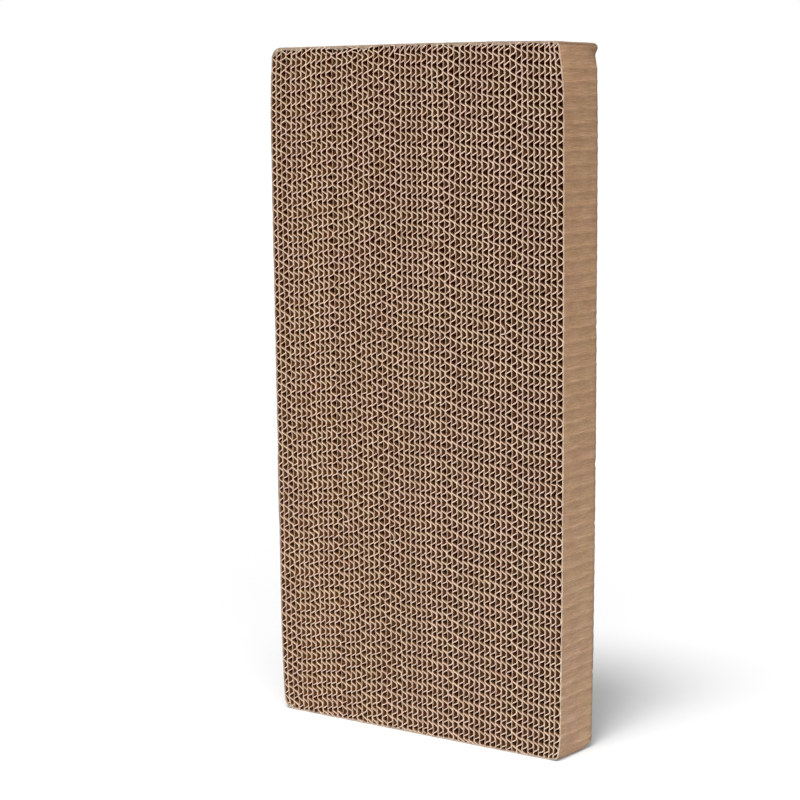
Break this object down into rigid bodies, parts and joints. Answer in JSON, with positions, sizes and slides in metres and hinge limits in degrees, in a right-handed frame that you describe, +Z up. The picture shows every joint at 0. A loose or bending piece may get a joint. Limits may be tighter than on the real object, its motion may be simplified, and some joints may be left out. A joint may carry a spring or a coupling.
{
  "type": "cardboard cat scratcher",
  "caption": "Upright rectangular scratching pad of corrugated cardboard strips glued side by side, flute ends forming both faces, wrapped in a kraft paper band.",
  "frame": {"origin": "middle of the short end that the pad stands on, at the floor", "axes": "+Z up along the pad's length, +X across the strips, -Y out of the front face"},
  "size_m": [0.2178, 0.038, 0.43],
  "materials": {
    "board": "matt brown kraft corrugated board with paler, fibrous cut edges",
    "band": "smooth matt kraft paper with faint cross ripples from the flutes under it"
  },
  "bodies": {
    "root": {"strip_01": "board", "strip_02": "board", "strip_03": "board", "strip_04": "board", "strip_05": "board", "strip_06": "board", "strip_07": "board", "strip_08": "board", "strip_09": "board", "strip_10": "board", "strip_11": "board", "strip_12": "board", "strip_13": "board", "strip_14": "board", "strip_15": "board", "strip_16": "board", "strip_17": "board", "strip_18": "board", "strip_19": "board", "strip_20": "board", "strip_21": "board", "strip_22": "board", "strip_23": "board", "strip_24": "board", "strip_25": "board", "strip_26": "board", "strip_27": "board", "strip_28": "board", "strip_29": "board", "strip_30": "board", "strip_31": "board", "strip_32": "board", "strip_33": "board", "strip_34": "board", "strip_35": "board", "strip_36": "board", "strip_37": "board", "strip_38": "board", "strip_39": "board", "strip_40": "board", "strip_41": "board", "strip_42": "board", "strip_43": "board", "strip_44": "board", "strip_45": "board", "strip_46": "board", "strip_47": "board", "strip_48": "board", "strip_49": "board", "strip_50": "board", "strip_51": "board", "strip_52": "board", "strip_53": "board", "strip_54": "board", "edge_band": "band"}
  },
  "joints": []
}
